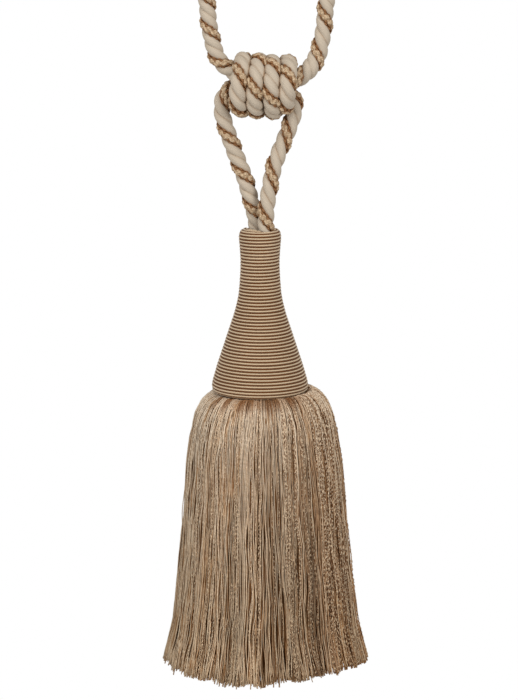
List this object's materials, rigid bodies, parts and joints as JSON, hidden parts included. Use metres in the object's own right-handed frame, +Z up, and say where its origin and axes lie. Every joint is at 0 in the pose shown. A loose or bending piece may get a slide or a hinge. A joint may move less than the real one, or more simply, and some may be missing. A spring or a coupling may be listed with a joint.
{
  "type": "curtain tieback",
  "caption": "Hanging curtain tieback: a twisted rope loop with a wound binding, a cord-wound bell head and a long cut-yarn tassel skirt.",
  "frame": {"origin": "where the hook bears, inside the top of the rope loop", "axes": "+Z up, the tassel hanging down along -Z; +X to the right and -Y to the front, seen with the knot's even turns facing"},
  "size_m": [0.1175, 0.1171, 0.4751],
  "materials": {
    "rope_yarn": "soft spun cream plies with one knobby golden-brown ply",
    "head_winding": "satin cream and brown cords wound side by side",
    "skirt_yarn": "fine taupe yarns, part smooth and part crinkled with a soft shine"
  },
  "bodies": {
    "root": {"rope_loop": "rope_yarn", "rope_leg_left": "rope_yarn", "rope_leg_right": "rope_yarn", "knot_binding": "rope_yarn", "head": "head_winding", "skirt": "skirt_yarn"}
  },
  "joints": []
}
